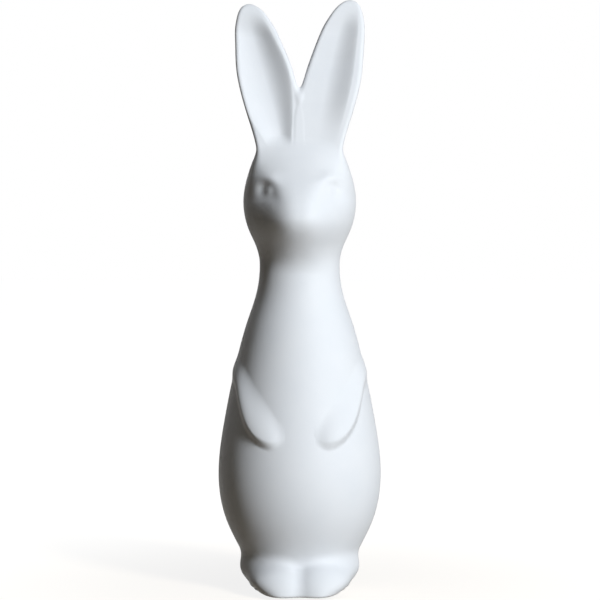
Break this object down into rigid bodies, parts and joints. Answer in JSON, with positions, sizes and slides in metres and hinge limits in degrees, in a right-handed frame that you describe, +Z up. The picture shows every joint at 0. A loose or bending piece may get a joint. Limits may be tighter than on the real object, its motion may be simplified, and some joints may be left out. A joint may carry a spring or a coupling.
{
  "type": "rabbit figurine",
  "caption": "Standing rabbit figurine in matte white ceramic: a hollow bottle-shaped body with a small muzzled head, upright scooped ears, low-relief arms and rounded feet; a shelf ornament.",
  "frame": {"origin": "centre of the object's box on the resting plane, on the axis of the torso", "axes": "+Z up from the base to the ears; -Y the way the rabbit faces; +X the rabbit's own left, on the right of the picture"},
  "size_m": [0.0746, 0.075, 0.2708],
  "materials": {
    "glazed_ceramic": "matte white glaze",
    "bare_ceramic": "unglazed, fired",
    "felt": "pressed wool felt"
  },
  "bodies": {
    "root": {"torso_shell": "glazed_ceramic", "head_shell": "glazed_ceramic", "left_ear": "glazed_ceramic", "right_ear": "glazed_ceramic", "left_arm": "glazed_ceramic", "right_arm": "glazed_ceramic", "left_foot": "glazed_ceramic", "right_foot": "glazed_ceramic", "left_eye": "glazed_ceramic", "right_eye": "glazed_ceramic", "tail": "glazed_ceramic", "base_disc": "bare_ceramic", "felt_ring": "felt"}
  },
  "joints": []
}
